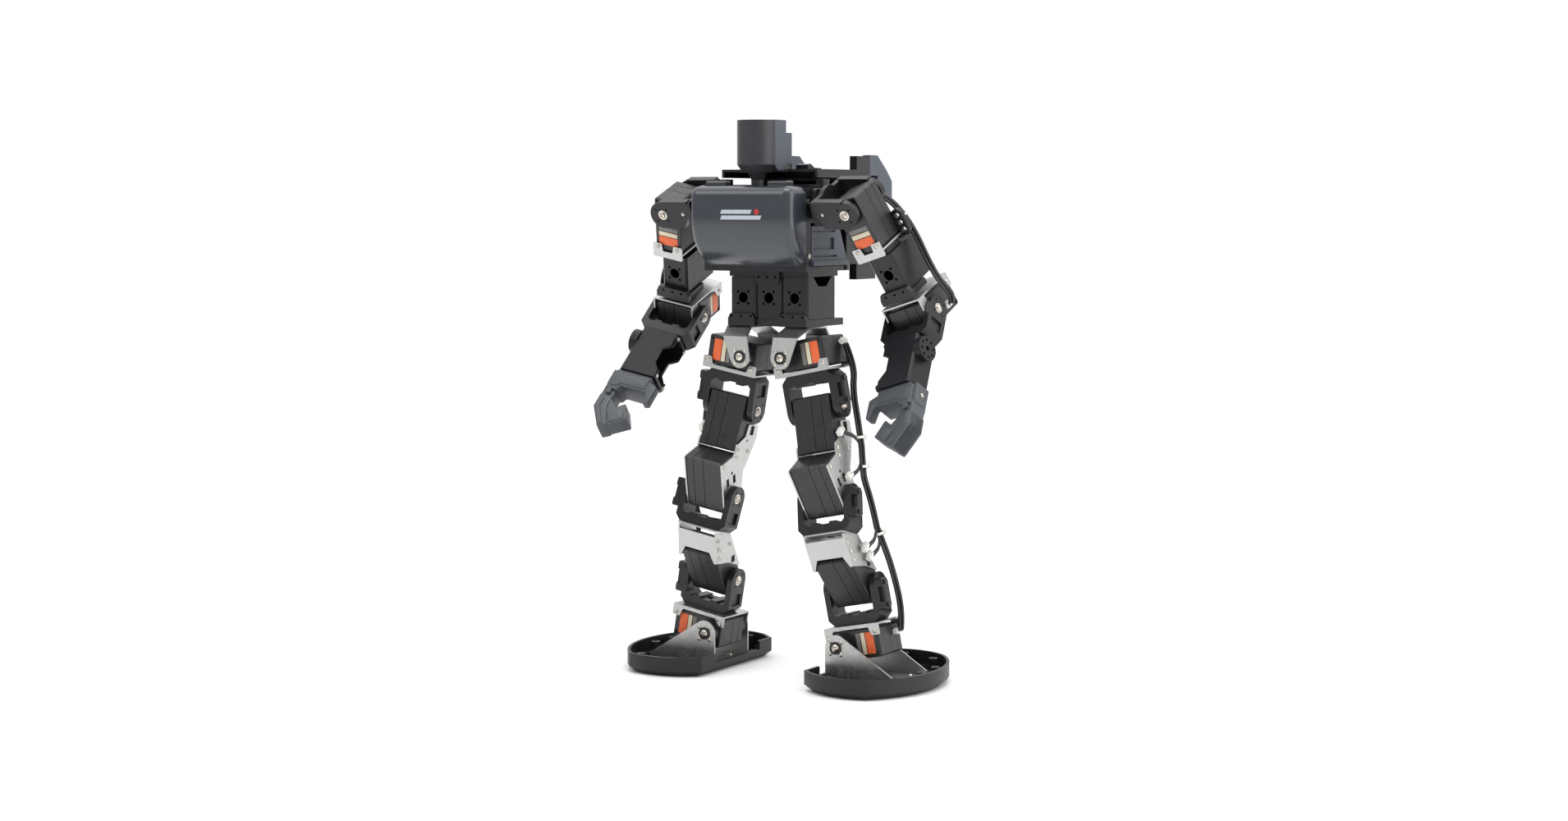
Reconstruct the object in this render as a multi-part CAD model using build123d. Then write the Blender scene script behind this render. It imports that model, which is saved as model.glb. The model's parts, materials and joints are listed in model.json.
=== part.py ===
from build123d import *
import os
from math import acos, atan2, cos, degrees, radians, sin, sqrt, tan

# A desktop humanoid robot kit that stands on two feet, built from one class of servo.
# Millimetres and degrees. X is the robot's left, -Y its front, +Z up.
# A limb is modelled once, for the left side, with +X pointing outboard, and mirrored for the right.

# ---- servo ----
SERVO_STACK = 30.5        # across the case, from output face to rear face
SERVO_WIDTH = 21.0
SERVO_NEAR = 9.0          # output axis to the near end of the case
SERVO_FAR = 32.0          # output axis to the far end of the case
SEAMS = (8.9, 0.3)        # places of the two case seams along the stack
SCREW_ACROSS = 8.0        # case screws, from the centre line
SCREW_ALONG = (6.0, -29.0)
PIN_R = 3.0               # output shaft
PIN_END = 19.1            # end of the shaft, from the middle of the servo
BOSS_R = 4.5              # wide output boss that passes through a metal plate
RUNNING = 0.06            # radial clearance of a shaft in its hole
CASE_CORNER = 1.2         # chamfer of the long edges of the case
CASE_RIM = 0.5            # chamfer of the two end faces
SEAM_GROOVE = 0.45        # width and depth of a case seam
SCREW_SINK_R = 1.6        # counterbore over a case screw
SCREW_SINK = 1.0
COLLAR_R = 6.5            # round collar under the output shaft
COLLAR = 1.3
BOSS_COLLAR_R = 7.5
BOSS_COLLAR = 6.6
BOSS_END = 24.2           # end of the wide boss, from the middle of the servo
SOCKET_R = 3.4            # recess in the end of the wide boss
SOCKET = 0.8

# ---- holes ----
CASE_HOLE = 1.1           # radius over a case screw of a servo
FRAME_HOLE = 1.2          # radius of the lightening and screw holes in the leg plates
STRAP_HOLE = 1.0          # radius of the four holes round a wide boss
YOKE_HOLE = 1.6           # radius of the screws that join a yoke to a plate
CENTRE_HOLE = 3.2         # radius of the hole in the middle of a yoke's base
YOKE_SCREW = 7.5          # place of a yoke screw, from the centre line
RING = 4.4                # place of the four small screws round an output shaft, in X and in Y
RING_HOLE = 0.75
AXIS_SINK = 4.0           # radius of the recess for the screw on an output shaft
TAB_HOLE = 0.9            # radius of the holes in a mounting tab

# ---- yokes ----
ARM_IN = 16.9             # inner face of a yoke arm, from the middle of the servo
ARM_OUT = 21.4
YOKE_R = 9.0              # rounded end of an arm, and half the depth of the yoke
BASE_NEAR = 18.7          # axis to the near face of the yoke's base
BEVEL = 4.5

# ---- sheet metal ----
SHEET = 1.2
PLATE_IN = 15.4           # side plates lie against the servo case

# ---- legs, as they stand ----
HIP_ROLL = (17.07, 0.0, 232.41)
HIP_PITCH = (11.79, -2.33, -39.97)     # from the hip roll axis, in the leg's own rolled frame
THIGH = 65.26
SHIN = 66.44
ANKLE_ROLL = (-11.79, 1.56, -39.42)    # from the ankle pitch axis
ANKLE_HEIGHT = 27.69                   # ankle roll axis above the floor
HANGER_SCREWS = (3.0, 13.0)            # screws of a hip hanger, outboard of the hip roll axis
LEG_ROLL = {"left": 11.71, "right": 9.72}
THIGH_PITCH = {"left": -6.78, "right": -9.49}
KNEE_SERVO_LEAN = 29.0
KNEE_YOKE_LEAN = 27.5
ANKLE_SERVO_LEAN = 20.0

# ---- arms, as they hang ----
SHOULDER = (75.64, -14.46, 341.91)     # crossing of the shoulder pitch and roll axes
ARM_PITCH = {"left": 23.94, "right": 23.52}
ARM_ROLL = {"left": 18.17, "right": 12.9}
ELBOW = (0.0, -1.83, -89.56)           # from the shoulder, along the upper arm
ELBOW_FLEX = {"left": 60.6, "right": 65.0}

# ---- torso and head ----
CHEST_HALF = 42.5
CHEST_FRONT = -51.5
CHEST_BACK = -30.0
CHEST_TOP = 354.0
CHEST_CURVE = 37.0        # radius of the chest's lower front
COVER_ROUND = 7.0         # outer rounding of the chest and back covers
COVER_WALL = 2.0
NECK_Y = -25.8
HEAD_R = 14.5
WAIST_PITCH = 21.6        # centre to centre of the three waist spacers

# ---- feet ----
FLOOR = -ANKLE_HEIGHT     # floor, from the ankle roll axis
TRAY_HEIGHT = 14.5
TRAY_WALL = 2.2


# ---- shapes ----
def block(x, y, z):
    """Box from three (low, high) pairs."""
    size = [high - low for low, high in (x, y, z)]
    middle = [(high + low) / 2 for low, high in (x, y, z)]
    return Pos(*middle) * Box(*size)


def soft_block(x, y, z, edge):
    """Box with all its edges chamfered."""
    shape = block(x, y, z)
    return chamfer(shape.edges(), edge)


def rod_x(x, y, z, r):
    return Pos((x[0] + x[1]) / 2, y, z) * Rot(0, 90, 0) * Cylinder(r, x[1] - x[0])


def rod_y(x, y, z, r):
    return Pos(x, (y[0] + y[1]) / 2, z) * Rot(90, 0, 0) * Cylinder(r, y[1] - y[0])


def rod_z(x, y, z, r):
    return Pos(x, y, (z[0] + z[1]) / 2) * Cylinder(r, z[1] - z[0])


def outline(points, corner=0):
    face = Polygon(*points, align=None)
    if corner:
        face = fillet(face.vertices(), corner)
    return face


def prism_x(face, x):
    """Outline in (Y, Z), solid between two X values."""
    return extrude(Plane.YZ.offset(x[0]) * face, amount=x[1] - x[0], dir=(1, 0, 0))


def prism_y(face, y):
    """Outline in (X, Z), solid between two Y values."""
    return extrude(Plane.XZ.offset(-y[0]) * face, amount=y[1] - y[0], dir=(0, 1, 0))


def prism_z(face, z):
    """Outline in (X, Y), solid between two Z values."""
    return extrude(Plane.XY.offset(z[0]) * face, amount=z[1] - z[0], dir=(0, 0, 1))


def tangent(point, centre, r, turn):
    """Point where a line from point touches a circle; turn is +1 or -1 for the side."""
    dx = point[0] - centre[0]
    dy = point[1] - centre[1]
    away = sqrt(dx * dx + dy * dy)
    angle = atan2(dy, dx) + turn * acos(r / away)
    return (centre[0] + r * cos(angle), centre[1] + r * sin(angle))


def ring_places(reach):
    """Four places round an axis, square to it."""
    return [(sx * reach, sy * reach) for sx in (-1, 1) for sy in (-1, 1)]


def solids(*shapes):
    """Separate solids of one node."""
    found = []
    for shape in shapes:
        found.extend(shape.solids())
    return found


# ---- servo and yoke ----
def servo(bossed=False):
    """Three-part servo case: output axis along X, long side along Z, near end up."""
    half = SERVO_STACK / 2
    side = SERVO_WIDTH / 2
    body = block((-half, half), (-side, side), (-SERVO_FAR, SERVO_NEAR))
    body = chamfer(body.edges().filter_by(Axis.X), CASE_CORNER)
    body = chamfer(body.faces().sort_by(Axis.X)[0].edges(), CASE_RIM)
    body = chamfer(body.faces().sort_by(Axis.X)[-1].edges(), CASE_RIM)
    groove = SEAM_GROOVE
    core = block((-half, half), (groove - side, side - groove), (groove - SERVO_FAR, SERVO_NEAR - groove))
    cuts = [block((seam - groove / 2, seam + groove / 2), (-20, 20), (-50, 20)) - core for seam in SEAMS]
    for y in (-SCREW_ACROSS, SCREW_ACROSS):
        for z in SCREW_ALONG:
            cuts.append(rod_x((half - SCREW_SINK, half + 1), y, z, SCREW_SINK_R))
            cuts.append(rod_x((-half - 1, SCREW_SINK - half), y, z, SCREW_SINK_R))
    body -= cuts
    if bossed:
        body += rod_x((-half - BOSS_COLLAR, half + BOSS_COLLAR), 0, 0, BOSS_COLLAR_R)
        body += rod_x((-BOSS_END, BOSS_END), 0, 0, BOSS_R)
        body -= rod_x((BOSS_END - SOCKET, BOSS_END + 1), 0, 0, SOCKET_R)
        body -= rod_x((-BOSS_END - 1, SOCKET - BOSS_END), 0, 0, SOCKET_R)
    else:
        body += rod_x((-half - COLLAR, half + COLLAR), 0, 0, COLLAR_R)
        body += rod_x((-PIN_END, PIN_END), 0, 0, PIN_R)
    return body


def yoke(reach, half_out=ARM_OUT, clamp=None, front=-1):
    """U-shaped yoke that turns about X at the origin, with its base towards +Z."""
    inner = ARM_IN
    profile = [(-half_out, -YOKE_R), (-half_out, reach - BEVEL), (BEVEL - half_out, reach),
               (half_out - BEVEL, reach), (half_out, reach - BEVEL), (half_out, -YOKE_R),
               (inner, -YOKE_R), (inner, BASE_NEAR - 2), (inner - 2, BASE_NEAR),
               (2 - inner, BASE_NEAR), (-inner, BASE_NEAR - 2), (-inner, -YOKE_R)]
    body = prism_y(outline(profile), (-YOKE_R, YOKE_R))
    side = block((-40, 40), (-YOKE_R, YOKE_R), (0, reach)) + rod_x((-40, 40), 0, 0, YOKE_R)
    body &= side
    cuts = [rod_z(0, 0, (BASE_NEAR - 3, reach + 3), CENTRE_HOLE)]
    for sign in (-1, 1):
        cuts.append(rod_x(sorted((sign * (inner - 1), sign * (PIN_END + 0.3))), 0, 0, PIN_R + RUNNING))
        cuts.append(rod_x(sorted((sign * (half_out - 0.6), sign * (half_out + 1))), 0, 0, AXIS_SINK))
        for y, z in ring_places(RING):
            cuts.append(rod_x(sorted((sign * (half_out - 1.2), sign * (half_out + 1))), y, z, RING_HOLE))
        if sign < 0 or not clamp:
            face = sorted((sign * (half_out - 1.6), sign * (half_out + 1)))
            cuts.append(block(face, (-5.5, 5.5), (10.5, reach - 6.5)))
    for x in (-YOKE_SCREW, YOKE_SCREW):
        body += block((x - 3, x + 3), (-YOKE_R, YOKE_R), (BASE_NEAR - 1.4, BASE_NEAR + 1))
    body -= cuts
    if clamp:
        body += lead_clamp(clamp, front, half_out)
    return body


def lead_clamp(span, front, half_out):
    """Block on the outboard arm that keeps the servo leads in place, with two screw bumps."""
    depth = sorted((front * YOKE_R, 0.0))
    body = soft_block((half_out - 0.9, half_out + 6), depth, span, 0.8)
    body -= block((half_out + 2.2, half_out + 9), sorted((front * 6.5, front * 20)),
                  (span[0] + 6.0, span[1] - 6.0))
    middle = front * YOKE_R / 2
    bumps = [rod_x((half_out, half_out + 7.2), middle, z, 2.0) for z in (span[0] + 3.2, span[1] - 3.2)]
    rib = block((half_out - 0.9, half_out + 5.2), sorted((0.0, -front * 1.5)), (span[0] + 2, span[1] - 2))
    return body + bumps + rib


PLAIN_SERVO = servo()
BOSSED_SERVO = servo(bossed=True)
ACROSS = Plane(origin=(0, 0, 0), x_dir=(0, 1, 0), z_dir=(-1, 0, 0))     # servo lies along X, axis along Y
UPRIGHT = Plane(origin=(0, 0, 0), x_dir=(0, 1, 0), z_dir=(0, 0, 1))     # servo hangs down, axis along Y
BACKWARD = Plane(origin=(0, 0, 0), x_dir=(1, 0, 0), z_dir=(0, -1, 0))   # servo lies along Y, axis along X
VERTICAL = Plane(origin=(0, 0, 0), x_dir=(0, 0, 1), z_dir=(0, -1, 0))   # axis along Z


# ---- legs ----
def roll_bracket(up):
    """Bent plate over (up = 1) or under (up = -1) a roll servo, with ears to the case screws."""
    high = 13.8
    front = 17.1
    body = block((-10.5, 34.0), (-front, front), sorted((up * (high - SHEET), up * high)))
    body -= rod_z(HIP_PITCH[0], 0, (-20, 20), CENTRE_HOLE)
    lip = [(-11.0, high), (34.0, high), (34.0, 5.4), (27.6, 5.4),
           (25.4, 11.2), (-3.4, 11.2), (-5.6, 5.8), (-11.0, 5.8)]
    ears = outline([(x, up * z) for x, z in lip], 0.9)
    for y in ((-front, SHEET - front), (front - SHEET, front)):
        body += prism_y(ears, y)
        for x in (30.6, -7.2):
            body -= rod_y(x, (y[0] - 1, y[1] + 1), up * 8.2, CASE_HOLE)
    return body


def strap_edge(r):
    """Front face of a hip hanger, in (X, Z) from the hip roll axis: wide top, down to a round end."""
    left, right = (-6.0, 14.6), (14.0, 14.6)
    touch_left = tangent(left, (0, 0), r, 1)
    touch_right = tangent(right, (0, 0), r, -1)
    return [(-2.0, 22.6), (18.0, 22.6), right, touch_right, (0, 0), touch_left, left]


def hanger():
    """Bent strap that hangs from the waist and holds the hip roll servo front and back."""
    top = 21.7
    under = top - SHEET
    outer = [(-23.3, -9.0), (-23.3, 14.6), (-12.0, top), (12.0, top), (23.3, 14.6), (23.3, -9.0)]
    inner = [(22.1, -9.0), (22.1, 14.1), (11.6, under), (-11.6, under), (-22.1, 14.1), (-22.1, -9.0)]
    body = prism_x(outline(outer + inner), (-10, 20))
    r = 8.1
    body &= prism_y(outline(strap_edge(r)), (-30, 30)) + rod_y(0, (-30, 30), 0, r)
    body -= rod_y(0, (-30, 30), 0, BOSS_R + RUNNING)
    for x, z in ring_places(4.3):
        body -= rod_y(x, (-30, 30), z, STRAP_HOLE)
    for x in HANGER_SCREWS:
        body -= rod_z(x, 0, (15, 30), YOKE_HOLE)
    return body


def thigh_plate(x):
    """Aluminium side plate that joins the hip pitch servo to the knee servo."""
    edge = [(-0.3, -10.8), (12.6, -9.7), (14.0, -19.5), (8.4, -38.7), (6.0, -44.6), (9.8, -57.5),
            (13.8, -68.5), (-5.0, -78.0), (-24.9, -43.6), (-10.5, -34.5), (-10.2, -26.8), (-1.2, -19.7)]
    body = prism_x(outline(edge, 1.0), x)
    through = (x[0] - 1, x[1] + 1)
    body -= rod_x(through, 0, -THIGH, 7.0)
    body -= block(through, (3.2, 8.2), (-18.0, -11.2))
    for y, z in ((-10.8, -55.2), (-3.6, -51.2)):
        body -= Pos((x[0] + x[1]) / 2, y, z) * Rot(KNEE_SERVO_LEAN, 0, 0) * Box(4, 3.4, 6.6)
    for y, z in ((-7.4, -30.1), (6.4, -29.9), (-6.8, -35.8), (-20.3, -44.2), (-8.4, -47.4)):
        body -= rod_x(through, y, z, FRAME_HOLE)
    body -= rod_x(through, 1.7, -22.5, TAB_HOLE)
    return body


def thigh_parts():
    knee = Pos(0, 0, -THIGH) * Rot(180 + KNEE_SERVO_LEAN, 0, 0) * PLAIN_SERVO
    plates = [thigh_plate((PLATE_IN, PLATE_IN + SHEET)), thigh_plate((-PLATE_IN - SHEET, -PLATE_IN))]
    return {"thigh_servos": solids(PLAIN_SERVO, knee), "thigh_plates": solids(*plates)}


def shin_frame():
    """Bent aluminium frame between the knee yoke and the ankle pitch servo."""
    out = PLATE_IN + SHEET
    lean = Rot(-KNEE_YOKE_LEAN, 0, 0)
    top = lean * block((-out, out), (-10.9, 11.0), (-25.7 - SHEET, -25.7))
    top -= lean * rod_z(0, 0, (-30, -20), CENTRE_HOLE)
    for x in (-YOKE_SCREW, YOKE_SCREW):
        top -= lean * rod_z(x, 0, (-30, -20), YOKE_HOLE)
    side = outline([(-21.9, -19.6), (-2.6, -28.6), (8.9, -58.9), (-6.1, -50.0), (-20.9, -45.1)], 0.6)
    face = outline([(-out, -23.2), (out, -23.2), (out, -45.0), (14.6, -45.0), (10.6, -37.0), (-10.6, -37.0),
                    (-14.6, -45.0), (-out, -45.0)], 0.7)
    body = top + prism_y(face, (-22.0, -20.8))
    for x in ((PLATE_IN, out), (-out, -PLATE_IN)):
        plate = prism_x(side, x)
        plate -= block((x[0] - 1, x[1] + 1), (-2.6, 2.0), (-52.0, -46.6))
        for y, z in ((-19.1, -27.4), (-3.6, -35.8), (-18.0, -34.7), (-17.4, -41.7)):
            plate -= rod_x((x[0] - 1, x[1] + 1), y, z, FRAME_HOLE)
        body += plate
    return body


def foot_outline():
    """Sole outline: straight inboard edge, three arcs round the front, outboard side and heel."""
    toe, side, heel = (-12.4, -46.0), (44.0, -56.5), (46.0, 56.0)
    edges = [Line((-12.4, 50.0), toe),
             ThreePointArc(toe, (16.0, -60.0), side),
             ThreePointArc(side, (68.2, 3.0), heel),
             ThreePointArc(heel, (22.0, 65.5), (-2.0, 59.0)),
             Line((-2.0, 59.0), (-12.4, 50.0))]
    return make_face(Wire(edges))


def foot_tray():
    """Plastic foot: a shallow tray with a bevelled sole and screw posts inside."""
    step = 4.6
    face = foot_outline()
    wall = prism_z(face, (FLOOR + step, FLOOR + TRAY_HEIGHT))
    sole = extrude(Plane.XY.offset(FLOOR + step) * face, amount=step, dir=(0, 0, -1), taper=50)
    body = wall + sole
    hollow = offset(face, -TRAY_WALL)
    body -= prism_z(hollow, (FLOOR + step, FLOOR + 40))
    well = offset(face, -TRAY_WALL - 5.0)
    body -= prism_z(well, (FLOOR + 3.0, FLOOR + 10))
    body -= block((-20, -9), (-28, 33), (FLOOR + 8.0, FLOOR + 40))
    for x, y in ((58.0, -2.0), (57.0, 20.0), (12.0, 57.0), (40.0, 49.0), (40.0, -47.0), (12.0, -52.0)):
        body += rod_z(x, y, (FLOOR + 2.0, FLOOR + TRAY_HEIGHT - 1.5), 3.2)
        body -= rod_z(x, y, (FLOOR + 8.0, FLOOR + 40), 1.3)
    for y in (-34.0, 34.0):
        body += block((-6, 54), (y - 0.8, y + 0.8), (FLOOR + 2.0, FLOOR + 6.5))
    return body


def foot_bracket():
    """Bent aluminium plate on the tray, with an upright on each side of the ankle roll servo."""
    base = FLOOR + 4.7
    toe = (49.0, base + 4.0)
    centre = (0.4, 0.4)
    r = 9.0
    touch = tangent(toe, centre, r, 1)
    face = outline([(-8.6, base), (-8.6, 0.4), centre, touch, toe, (49.0, base)])
    body = block((-8.6, 49.0), (-23.3, 23.3), (base, base + SHEET))
    for y in ((-23.3, -22.1), (22.1, 23.3)):
        body += [prism_y(face, y), rod_y(centre[0], y, centre[1], r)]
    body -= rod_y(0, (-30, 30), 0, BOSS_R + RUNNING)
    for x, z in ring_places(RING):
        body -= rod_y(x, (-30, 30), z, STRAP_HOLE)
    for x in (2.0, 40.0):
        for y in (-14.0, 14.0):
            body -= rod_z(x, y, (base - 1, base + 3), YOKE_HOLE)
    return body


# ---- arms ----
def shoulder_yoke():
    """Yoke from the shoulder pitch servo to the roll servo, in the pitched frame."""
    cross = SHOULDER[0]
    arm_in, arm_out = 17.2, 22.0
    arm = [(51.0, 10.0), (cross, 10.0), (cross, -10.0), (58.7, -10.0), (51.0, 3.0)]
    body = block((50.2, 53.6), (-arm_out, arm_out), (-8.0, 10.0))
    body += rod_x((50.2, 53.6), 0, 0, 13.0)
    for sign in (-1, 1):
        depth = sorted((sign * arm_in, sign * arm_out))
        body += [prism_y(outline(arm), depth), rod_y(cross, depth, 0, 10.0)]
        body += block((52.0, cross), sorted((sign * arm_in, sign * (arm_out + 1.2))), (8.8, 10.8))
        body -= rod_y(cross, sorted((sign * (arm_in - 1), sign * (arm_out - 1.4))), 0, PIN_R + RUNNING)
        body -= rod_y(cross, sorted((sign * (arm_out - 0.6), sign * (arm_out + 3))), 0, AXIS_SINK)
        for x, z in ring_places(RING):
            body -= rod_y(cross + x, sorted((sign * (arm_out - 1.2), sign * (arm_out + 1))), z, RING_HOLE)
        body -= rod_y(58.0, sorted((sign * (arm_out - 1.2), sign * (arm_out + 1))), 0.5, YOKE_HOLE)
    body -= rod_x((49.0, 52.2), 0, 0, PIN_R + RUNNING)
    return body


def arm_servos():
    roll = UPRIGHT * PLAIN_SERVO
    elbow = Pos(*ELBOW) * (BACKWARD * PLAIN_SERVO)
    return solids(roll, elbow)


def arm_brackets():
    """Bent plates under the shoulder roll servo and over the elbow servo."""
    upper = block((-12.0, 12.0), (-17.1, 17.1), (-33.6, -32.4))
    lip = outline([(-12.0, -37.4), (12.0, -37.4), (12.0, -26.6), (5.0, -26.6), (4.0, -32.4), (-4.0, -32.4),
                   (-5.0, -26.6), (-12.0, -26.6)], 0.8)
    for y in ((-17.1, -15.9), (15.9, 17.1)):
        upper += prism_y(lip, y)
        for x in (-SCREW_ACROSS, SCREW_ACROSS):
            upper -= rod_y(x, (y[0] - 1, y[1] + 1), SCREW_ALONG[1], CASE_HOLE)
    top = ELBOW[2] + 14.0
    lower = block((-16.6, 16.6), (-13.0, 19.0), (top - SHEET, top))
    wing = [(-13.0, top), (-6.0, top), (-4.0, top - 5.0), (-13.0, top - 9.5)]
    heel = [(10.0, top), (30.5, top), (30.5, top - 9.5), (24.5, top - 9.5), (20.0, top - 3.0)]
    lower += block((-16.6, 16.6), (18.0, 30.5), (top - SHEET, top))
    for x in ((-16.6, -15.5), (15.5, 16.6)):
        lower += prism_x(outline(wing), x)
        lower += prism_x(outline(heel), x)
        lower -= rod_x((x[0] - 1, x[1] + 1), 27.2, top - 6.0, CASE_HOLE)
    return solids(upper, lower)


def servo_box(x, y, z, open_r=3.85):
    """Dummy servo case with a round hole and four small ones in its front face."""
    body = block(x, y, z)
    body = chamfer(body.edges().filter_by(Axis.Z), 1.6)
    body -= block((x[0] + 1.6, x[1] - 1.6), (y[0] + 2.4, y[1] - 1.6), (z[0] + 1.6, z[1] - 1.6))
    middle = (x[0] + x[1]) / 2
    height = (z[0] + z[1]) / 2
    body -= rod_y(middle, (y[0] - 1, y[0] + 4), height, open_r)
    for dx, dz in ring_places(4.3):
        body -= rod_y(middle + dx, (y[0] - 1, y[0] + 4), height + dz, STRAP_HOLE)
    return body


def arm_spacer():
    box = servo_box((-10.5, 10.5), (-8.6, 30.8), (-68.5, -39.4))
    foot = block((-12.0, 12.0), (-9.5, 12.0), (-73.4, -68.6))
    tab = outline([(-11.5, -64.8), (11.5, -64.8), (13.5, -69.0),
                   (13.5, -73.4), (-13.5, -73.4), (-13.5, -69.0)])
    foot += prism_y(tab, (-13.0, -8.8))
    for x in (-7.7, 0.0, 7.7):
        foot -= rod_y(x, (-14, -10.5), -67.4, TAB_HOLE)
    neck = block((-8.0, 8.0), (-6.0, 12.0), (-39.3, -33.7))
    return solids(box, foot, neck)


def forearm_shell():
    """C-shaped channel, open towards the body, with a round mounting disc outboard."""
    top, bottom = -26.0, -66.0
    body = block((-15.0, 15.0), (-10.5, 10.5), (bottom, top))
    body = chamfer(body.edges().filter_by(Axis.Z), 1.5)
    body -= block((-20.0, 12.6), (-8.3, 8.3), (bottom + 2.4, top - 2.4))
    notch = outline([(-20.0, -37.0), (-14.0, -37.0), (-8.0, -41.0),
                     (-8.0, -52.0), (-13.5, -59.0), (-20.0, -59.0)])
    body -= prism_y(notch, (-12, 12))
    for y in (-8.2, 8.2):
        for z in (bottom + 2.6, top - 2.6):
            body += rod_x((-15.0, 14.0), y, z, 2.2)
            body -= rod_x((-16.0, -11.0), y, z, 1.0)
    y, z = -3.0, -36.5
    disc = rod_x((14.0, 20.2), y, z, 9.0) - rod_x((17.4, 22.0), y, z, 1.8)
    holes = 8
    for step in range(holes):
        angle = radians(360 / holes * (step + 0.5))
        disc -= rod_x((17.4, 22.0), y + 6.2 * cos(angle), z + 6.2 * sin(angle), 1.0)
    return body + disc


def hand():
    """Hook-shaped gripper: palm, short thumb and a bent finger."""
    palm = outline([(-13.0, -66.1), (15.0, -66.1), (18.0, -69.0), (18.0, -84.0), (9.0, -84.0), (9.0, -80.0),
                    (-13.0, -80.0), (-13.0, -76.0)])
    finger = outline([(19.5, -78.0), (19.5, -101.0), (8.0, -117.0), (-10.5, -104.0),
                      (-3.0, -92.0), (3.0, -97.0), (9.5, -92.0), (9.5, -78.0)])
    tip = outline([(19.5, -88.0), (19.5, -101.0), (8.0, -117.0),
                   (2.0, -113.0), (9.5, -98.0), (9.5, -88.0)])
    thumb = outline([(-11.0, -70.0), (-20.0, -73.0), (-20.0, -88.0),
                     (-16.0, -89.0), (-14.0, -80.0), (-11.0, -79.0)])
    body = prism_y(palm, (-9.5, 9.5))
    body += prism_y(finger, (-7.0, 7.0))
    body += prism_y(tip, (-8.5, 8.5))
    body += prism_y(thumb, (-9.0, -2.0))
    plate = outline([(-5.0, -68.0), (5.0, -68.0), (6.5, -70.0),
                     (6.5, -80.0), (-6.5, -80.0), (-6.5, -70.0)], 0.8)
    body += prism_x(plate, (17.0, 20.2))
    body -= rod_x((19.0, 21.0), 0, -74.0, 1.6)
    body -= block((-14.0, 8.0), (-1.2, 9.6), (-78.0, -69.0))
    return body


# ---- torso ----
def chest_form(inset):
    """Outer form of the chest cover, drawn in by inset."""
    front = CHEST_FRONT + inset
    top = CHEST_TOP - inset
    half = CHEST_HALF - inset
    low = CHEST_TOP - 60.0 + CHEST_CURVE
    r = CHEST_CURVE - inset
    pivot = CHEST_FRONT + CHEST_CURVE
    bottom = low - sqrt(r * r - (pivot - CHEST_BACK) ** 2)
    bend = radians(45)
    middle = (pivot - r * cos(bend), low - r * sin(bend))
    edges = [Line((CHEST_BACK, bottom), (CHEST_BACK, top)),
             Line((CHEST_BACK, top), (front, top)),
             Line((front, top), (front, low)),
             ThreePointArc((front, low), middle, (CHEST_BACK, bottom))]
    body = prism_x(make_face(Wire(edges)), (-half, half))
    rim = [edge for edge in body.edges() if abs(abs(edge.center().X) - half) < 0.1
           and edge.center().Y < CHEST_BACK - 1]
    rim += [edge for edge in body.edges() if abs(edge.center().X) < 0.1
            and abs(edge.center().Z - top) < 0.1 and edge.center().Y < CHEST_BACK - 1]
    return fillet(rim, COVER_ROUND - inset)


def chest_cover():
    body = chest_form(0.0) - chest_form(COVER_WALL)
    body -= rod_z(0, NECK_Y, (CHEST_TOP - 10, CHEST_TOP + 10), 8.6)
    for sign in (-1, 1):
        bar = block(sorted((sign * 17.5, sign * 34.0)), (-41.0, -33.0), (CHEST_TOP - 1.5, CHEST_TOP + 3.6))
        bar = fillet(bar.faces().sort_by(Axis.Z)[-1].edges(), 1.4)
        body += bar
    return body


def torso_frame():
    """Black plastic chassis: floor, side columns, rear wall and shelf for the shoulder servos."""
    low = 294.0
    body = block((-41.5, 41.5), (-29.8, 30.0), (low, low + 3.5))
    for sign in (-1, 1):
        body += block(sorted((sign * 37.5, sign * 42.5)), (-29.8, -24.0), (low, 353.0))
        body += block(sorted((sign * 12.0, sign * 42.5)), (-23.8, 26.0), (328.2, 331.2))
        body += block(sorted((sign * 37.5, sign * 43.4)), (-8.5, 0.5), (352.6, 359.0))
        body += block(sorted((sign * 12.0, sign * 42.5)), (-23.8, 28.0), (352.6, 355.0))
    body += block((-42.5, 42.5), (26.0, 30.0), (low, 355.0))
    body += block((-42.5, 42.5), (-27.0, -24.0), (325.0, 331.2))
    body -= block((-11.2, 11.2), (-36.0, 7.0), (320.9, 360.0))
    body -= rod_y(0, (20, 40), 340, 8.0)
    for x in (-WAIST_PITCH, 0, WAIST_PITCH):
        body -= rod_z(x, 4.0, (low - 1, low + 5), 1.7)
    return body


def side_covers():
    edge = [(-22.5, 298.0), (25.8, 298.0), (25.8, 304.0), (15.6, 326.0), (-22.5, 326.0)]
    shapes = []
    for sign in (-1, 1):
        body = prism_x(outline(edge, 1.2), sorted((sign * 38.0, sign * 42.5)))
        body += block(sorted((sign * 38.0, sign * 44.6)), (-22.5, 25.8), (298.0, 301.4))
        outer = sorted((sign * 41.0, sign * 44.0))
        body -= block(outer, (-20.5, 8.4), (309.4, 317.6))
        body -= block(outer, (-20.5, 12.0), (304.0, 305.2))
        body -= block(outer, (-20.5, 10.0), (321.6, 322.8))
        for y in (-14.0, 16.0):
            body -= rod_z(sign * 43.6, y, (297, 303), 0.6)
        shapes.append(body)
    return solids(*shapes)


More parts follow.
